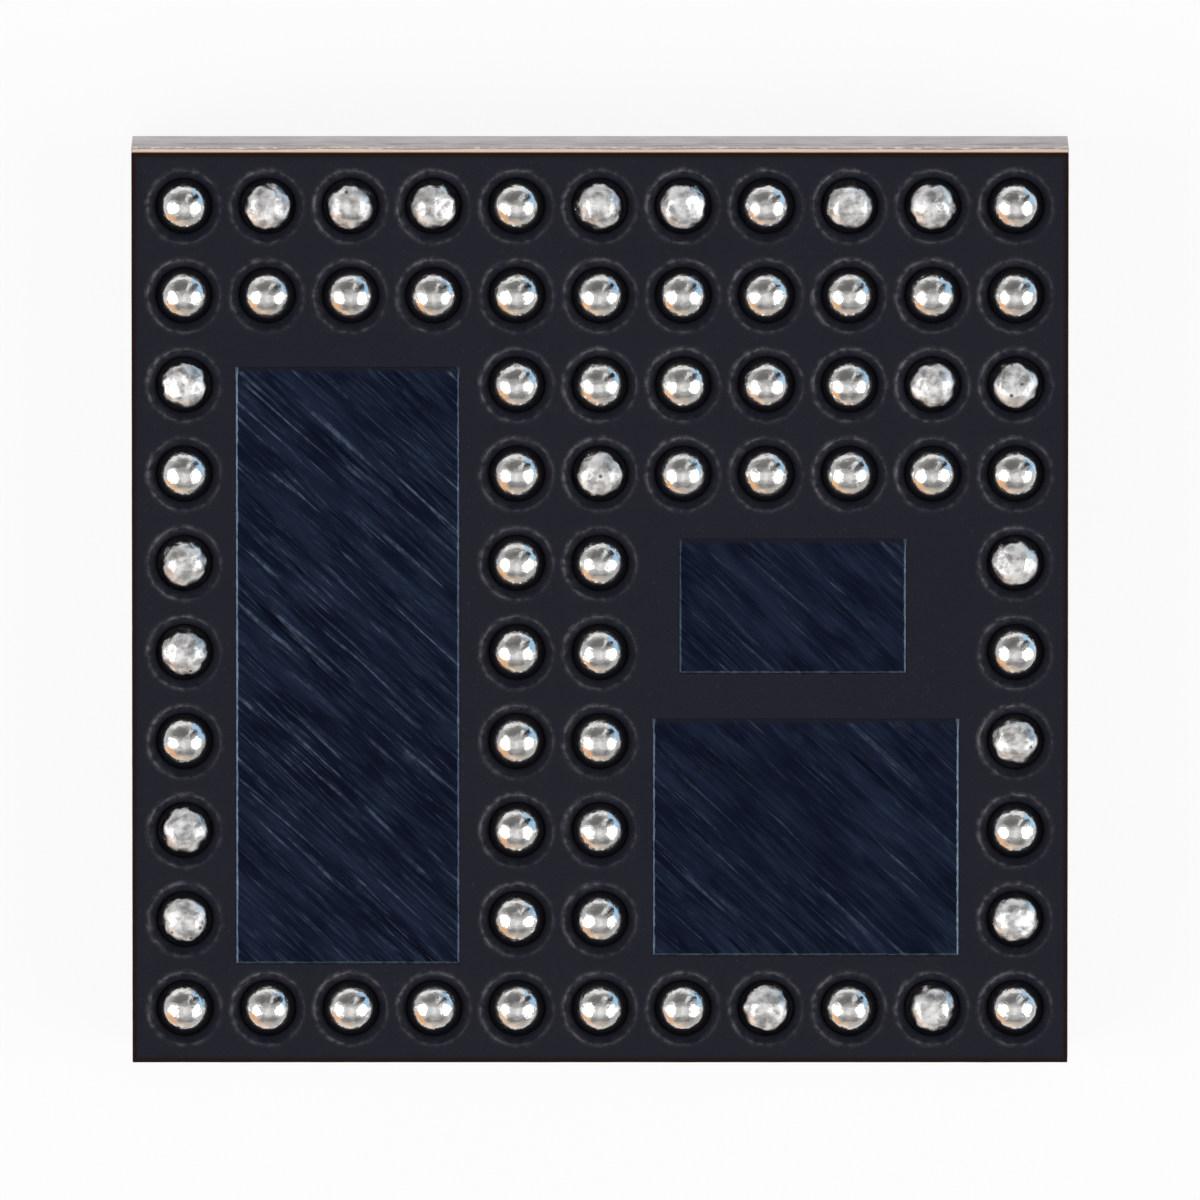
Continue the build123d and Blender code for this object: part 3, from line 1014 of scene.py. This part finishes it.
def mould_mesh():
    """The mould's ball side: flat between the holes and round the dies, down to its seat."""
    bm = bmesh.new()
    rim = bm.verts.layers.float.new("rim")
    sheet = FlatSheet(bm)
    boxes = [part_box(name) for name in die_names]
    columns = sorted({round(tip.x / UM) * UM for row, column, tip in balls})
    rows = sorted({round(tip.y / UM) * UM for row, column, tip in balls})
    lines_x = cuts(mould_low.x, mould_high.x, columns, column_pitch / 2,
                   [corner.x for box in boxes for corner in box])
    lines_y = cuts(mould_low.y, mould_high.y, rows, row_pitch / 2,
                   [corner.y for box in boxes for corner in box])
    half_cell = Vector((column_pitch / 2, row_pitch / 2, 0))
    cells = [(tip - half_cell, tip + half_cell) for row, column, tip in balls]
    for x0, x1 in zip(lines_x, lines_x[1:]):
        for y0, y1 in zip(lines_y, lines_y[1:]):
            middle = ((x0 + x1) / 2, (y0 + y1) / 2)
            if any(inside(*middle, *box) for box in boxes + cells):
                continue
            for z in (face_z, seat_z):
                corners = ((x0, y0), (x1, y0), (x1, y1), (x0, y1))
                bm.faces.new([sheet.at(x, y, z) for x, y in corners])
    for row, column, tip in balls:
        ball_hole(bm, sheet, rim, tip, lines_x, lines_y)
    close_sides(bm, sheet)
    return mesh_of(bm, "ball_side_mould")


def close_sides(bm, sheet):
    """Upright walls along every open edge of the upper side."""
    bm.edges.ensure_lookup_table()
    upper = [e for e in bm.edges if e.is_boundary and all(v.co.z > bevel_z for v in e.verts)]
    for edge in upper:
        first, second = edge.verts
        below = [sheet.at(v.co.x, v.co.y, seat_z) for v in (second, first)]
        bm.faces.new((first, second, *below))


def ball_side_mould(material):
    """The mould round the balls and the dies."""
    return new_piece("ball_side_mould", mould_mesh(), material, "mould", "lower_mould")


def steps_between(start, end, step):
    """Places between two others, about a step apart, without the two."""
    count = max(2, round(math.dist(start, end) / step))
    for n in range(1, count):
        share = n / count
        yield start[0] + (end[0] - start[0]) * share, start[1] + (end[1] - start[1]) * share


def edge_points(low, high, step):
    """Points round a rectangle, anticlockwise, with each one's inward direction."""
    corners = [(low.x, low.y), (high.x, low.y), (high.x, high.y), (low.x, high.y)]
    inwards = [(0, 1), (-1, 0), (0, -1), (1, 0)]
    points = []
    for k, (start, inward) in enumerate(zip(corners, inwards)):
        end = corners[(k + 1) % 4]
        before = inwards[k - 1]
        points.append((*start, (inward[0] + before[0], inward[1] + before[1])))
        points += [(x, y, inward) for x, y in steps_between(start, end, step)]
    return points


def chips_and_glint(name, in_x, in_y):
    """How pale a die's edge is painted at one point, partly chipping and partly a painted highlight: the
    sides differ, and none is pale along +Y.
    """
    if in_x:
        return DIE_CHIPS_AND_GLINT[name][in_x < 0] * rng.uniform(*DIE_CHIP_AND_GLINT_BREAKS)
    return rng.uniform(*DIE_END_CHIPS_AND_GLINT) if in_y > 0 else 0.0


def ground_die(name, material):
    """A die whose edges were chipped a little when it was ground."""
    low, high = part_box(name)
    bm = bmesh.new()
    edge = bm.verts.layers.float.new("edge")
    dull = bm.verts.layers.float.new("dull")
    foot, shoulder, top, inner = [], [], [], []
    for x, y, (in_x, in_y) in edge_points(low, high, DIE_EDGE_STEP):
        smeared = in_y < 0
        beside_smear = in_y == 0 and high.y - y < DIE_SMEAR_CLEAR * DIE_SMEAR
        if beside_smear:
            continue
        chip = DIE_CHAMFER * rng.uniform(*DIE_CHIP_SIZES)
        chip_y = chip * DIE_SMEARED_CHAMFER if smeared else chip
        fade = chip + DIE_EDGE_FADE
        fade_y = DIE_SMEAR if smeared else fade
        foot.append(bm.verts.new((x, y, low.z)))
        shoulder.append(bm.verts.new((x, y, high.z - DIE_CHAMFER_DROP * chip_y / chip)))
        top.append(bm.verts.new((x + in_x * chip, y + in_y * chip_y, high.z)))
        inner.append(bm.verts.new((x + in_x * fade, y + in_y * fade_y, high.z)))
        shoulder[-1][edge] = top[-1][edge] = chips_and_glint(name, in_x, in_y)
        shoulder[-1][dull] = top[-1][dull] = float(smeared)
    fill_flat(bm, foot)
    join_rings(bm, shoulder, foot, smooth=False)
    join_rings(bm, top, shoulder, smooth=False)
    join_rings(bm, inner, top, smooth=False)
    fill_flat(bm, inner)
    piece_name = "ground_" + name
    return new_piece(piece_name, mesh_of(bm, piece_name), material, "ground_silicon", name)


def rounded_path(half_x, half_y, radius, step):
    """Points round a rectangle with rounded corners, anticlockwise, each with its outward direction."""
    points = []
    corners = ((1, -1), (1, 1), (-1, 1), (-1, -1))
    for k, (sx, sy) in enumerate(corners):
        centre = (sx * (half_x - radius), sy * (half_y - radius))
        for n in range(CORNER_STEPS + 1):
            angle = math.radians(-90 + 90 * k + 90 * n / CORNER_STEPS)
            out = (math.cos(angle), math.sin(angle))
            points.append((centre[0] + radius * out[0], centre[1] + radius * out[1], out))
        last = points[-1]
        nx, ny = corners[(k + 1) % 4]
        start_angle = math.radians(90 * k)
        end = (nx * (half_x - radius) + radius * math.cos(start_angle),
               ny * (half_y - radius) + radius * math.sin(start_angle))
        points += [(x, y, last[2]) for x, y in steps_between(last[:2], end, step)]
    return points


def skin_ring(bm, path, z, inset=0.0, wave=0.0, ragged=0.0):
    """One ring of the skin at a height, waved inwards a little, and lowered where its edge is ragged."""
    ring = []
    for x, y, (out_x, out_y) in path:
        at = Vector((x, y, z)) * PER_MM
        inward = inset + wave * (0.5 + 0.5 * noise.noise(at * WAVE_SCALE))
        lower = 0.0
        if ragged:
            along = Vector((x, y, 0)) * PER_MM
            wander = RAGGED_MIDDLE
            for share, scale in RAGGED_WAVES:
                wander += share * noise.noise(along * scale)
            lower = ragged * min(1.0, max(0.0, wander))
        ring.append(bm.verts.new((x - out_x * inward, y - out_y * inward, z - lower)))
    return ring


def skin_mesh(name, low, high, thickness, ragged):
    """A thin metal tray, open at the top: waved walls, rounded corners and foot."""
    bm = bmesh.new()
    path = rounded_path(high.x, high.y, CORNER_RADIUS, WALL_STEP)
    foot = skin_ring(bm, path, low.z, inset=FOOT_RADIUS)
    fill_flat(bm, foot)
    below = foot
    levels = [(low.z + FOOT_RADIUS * FOOT_BEND, FOOT_RADIUS * FOOT_BEND)]
    rise = (high.z - low.z - FOOT_RADIUS) / WALL_ROWS
    levels += [(low.z + FOOT_RADIUS + rise * k, 0.0) for k in range(WALL_ROWS + 1)]
    if ragged:
        levels[-1] = (high.z, EDGE_THINNING * thickness)
    for k, (z, inset) in enumerate(levels):
        near_edge = max(0.0, 1 - (len(levels) - 1 - k) / RAGGED_ROWS)
        ring = skin_ring(bm, path, z, inset, 0.0 if k == 0 else WALL_WAVE, ragged * near_edge)
        join_rings(bm, ring, below)
        below = ring
    inner_path = [
        (x - out[0] * thickness, y - out[1] * thickness, out) for x, y, out in path
    ]
    lip = []
    for (x, y, out), edge in zip(inner_path, below):
        lip.append(bm.verts.new((x, y, edge.co.z)))
    join_rings(bm, lip, below, smooth=False)
    floor_ring = skin_ring(bm, inner_path, low.z + thickness)
    join_rings(bm, floor_ring, lip)
    fill_flat(bm, floor_ring)
    return mesh_of(bm, name)


def metal_skin(name, node, thickness, ragged, material, slot):
    """One layer of the metal skin."""
    low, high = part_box(node)
    return new_piece(name, skin_mesh(name, low, high, thickness, ragged), material, slot, node)


# Stage

def floor_finish():
    """White table: white to the camera and in reflections, with the part's shadow kept faint."""
    finish = Finish("white_table", Roughness=0.6)
    tree = finish.tree
    grain = finish.use(GRAIN, "Grain", Fine=0.4)
    finish.feed("Base Color", blend(tree, grain, colour(0.90, 0.90, 0.90), colour(0.92, 0.92, 0.92)))
    rays = put(tree, "ShaderNodeLightPath").outputs
    seen = calc(tree, "MAXIMUM", rays["Is Camera Ray"], rays["Is Glossy Ray"])
    seen = calc(tree, "MAXIMUM", seen, rays["Is Transmission Ray"])
    white = put(tree, "ShaderNodeEmission", {"Color": colour(1, 1, 1), "Strength": 1.0})
    mixed = put(tree, "ShaderNodeMixShader", {
        0: calc(tree, "MULTIPLY", seen, TABLE_WHITE), 1: finish.shader.outputs[0], 2: white.outputs[0],
    })
    tree.links.new(mixed.outputs[0], tree.nodes["Material Output"].inputs["Surface"])
    return finish.material


def lay_floor():
    """A wide plain table just under the part."""
    bm = bmesh.new()
    signs = ((-1, -1), (1, -1), (1, 1), (-1, 1))
    bm.faces.new([
        bm.verts.new((x * TABLE_REACH, y * TABLE_REACH, cad_box[0].z - TABLE_DROP)) for x, y in signs
    ])
    mesh = mesh_of(bm, "table")
    mesh.materials.append(floor_finish())
    table = bpy.data.objects.new("table", mesh)
    bpy.context.scene.collection.objects.link(table)


def light_world():
    """A light tent: pale round the horizon, greyer higher up, with soft panels."""
    world = bpy.data.worlds.new("light_tent")
    bpy.context.scene.world = world
    world.use_nodes = True
    tree = world.node_tree
    direction = put(tree, "ShaderNodeTexCoord").outputs["Generated"]
    height = put(tree, "ShaderNodeSeparateXYZ", {0: direction}).outputs["Z"]
    ramp = put(tree, "ShaderNodeValToRGB", {0: height})
    elements = ramp.color_ramp.elements
    while len(elements) < len(TENT_GREYS):
        elements.new(0.5)
    for element, (at, grey) in zip(elements, TENT_GREYS):
        element.position = at
        element.color = colour(grey, grey, grey)
    light = ramp.outputs[0]
    for slant, bearing, inner, outer, tint in TENT_PANELS:
        slant, bearing, inner, outer = map(math.radians, (slant, bearing, inner, outer))
        facing = vector_calc(tree, "DOT_PRODUCT", direction, heading(slant, bearing))
        panel = between(tree, facing, math.cos(outer), math.cos(inner))
        light = blend(tree, panel, light, colour(*tint))
    tree.links.new(light, tree.nodes["Background"].inputs["Color"])


def hang_lamp(name, side):
    """A round soft lamp to one side, above and a little in front."""
    slant = math.sin(LAMP_SLANT)
    towards = Vector((
        side * slant * math.cos(LAMP_FORWARD), -slant * math.sin(LAMP_FORWARD), math.cos(LAMP_SLANT),
    ))
    data = bpy.data.lights.new(name, "AREA")
    data.shape = "DISK"
    radius = LAMP_DISTANCE * math.tan(LAMP_SPREAD)
    data.size = 2 * radius
    data.energy = LAMP_RADIANCE * math.pi * math.pi * radius**2
    lamp = bpy.data.objects.new(name, data)
    lamp.location = towards * LAMP_DISTANCE
    lamp.rotation_mode = "QUATERNION"
    lamp.rotation_quaternion = towards.to_track_quat("Z", "Y")
    lamp.visible_camera = False
    bpy.context.scene.collection.objects.link(lamp)


def set_camera():
    """Looks down on the balls, tilted a little so that the +Y wall shows."""
    data = bpy.data.cameras.new("camera")
    data.lens, data.sensor_width = LENS, SENSOR
    width = (cad_box[1].x - cad_box[0].x) / FRAME_SHARE
    distance = width * LENS / SENSOR
    data.clip_start, data.clip_end = distance / 100, 100 * distance
    camera = bpy.data.objects.new("camera", data)
    middle = (cad_box[0] + cad_box[1]) / 2
    camera.location = middle + distance * Vector((0, math.sin(VIEW_TILT), math.cos(VIEW_TILT)))
    camera.rotation_euler = (-VIEW_TILT, 0, 0)
    bpy.context.scene.collection.objects.link(camera)
    bpy.context.scene.camera = camera


# Build

bpy.context.scene.view_settings.view_transform = "Standard"
mould = mould_finish()
silicon = die_finish("ground_silicon", GRIND_MARKS)
fine_silicon = die_finish("fine_ground_silicon", FINE_GRIND_MARKS)
solder_balls(solder_finish())
ball_side_mould(mould)
for die in die_names:
    ground_die(die, silicon if die == "long_die" else fine_silicon)
metal_skin("steel_skin", "shield_steel", STEEL, RAGGED_EDGE, steel_finish(), "steel_skin")
metal_skin("copper_skin", "shield_copper", COPPER, 0.0, copper_finish(), "copper_skin")

hidden = {node: hidden_finish(*look) for node, look in HIDDEN_LOOKS.items()}
hidden["upper_mould"] = mould
for node in ("filter_dies", "switch_die", "amplifier_die"):
    hidden[node] = silicon
for node, finish in hidden.items():
    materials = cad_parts[node].data.materials
    materials.clear()
    materials.append(finish)

lay_floor()
light_world()
hang_lamp("left_lamp", -1)
hang_lamp("right_lamp", 1)
set_camera()
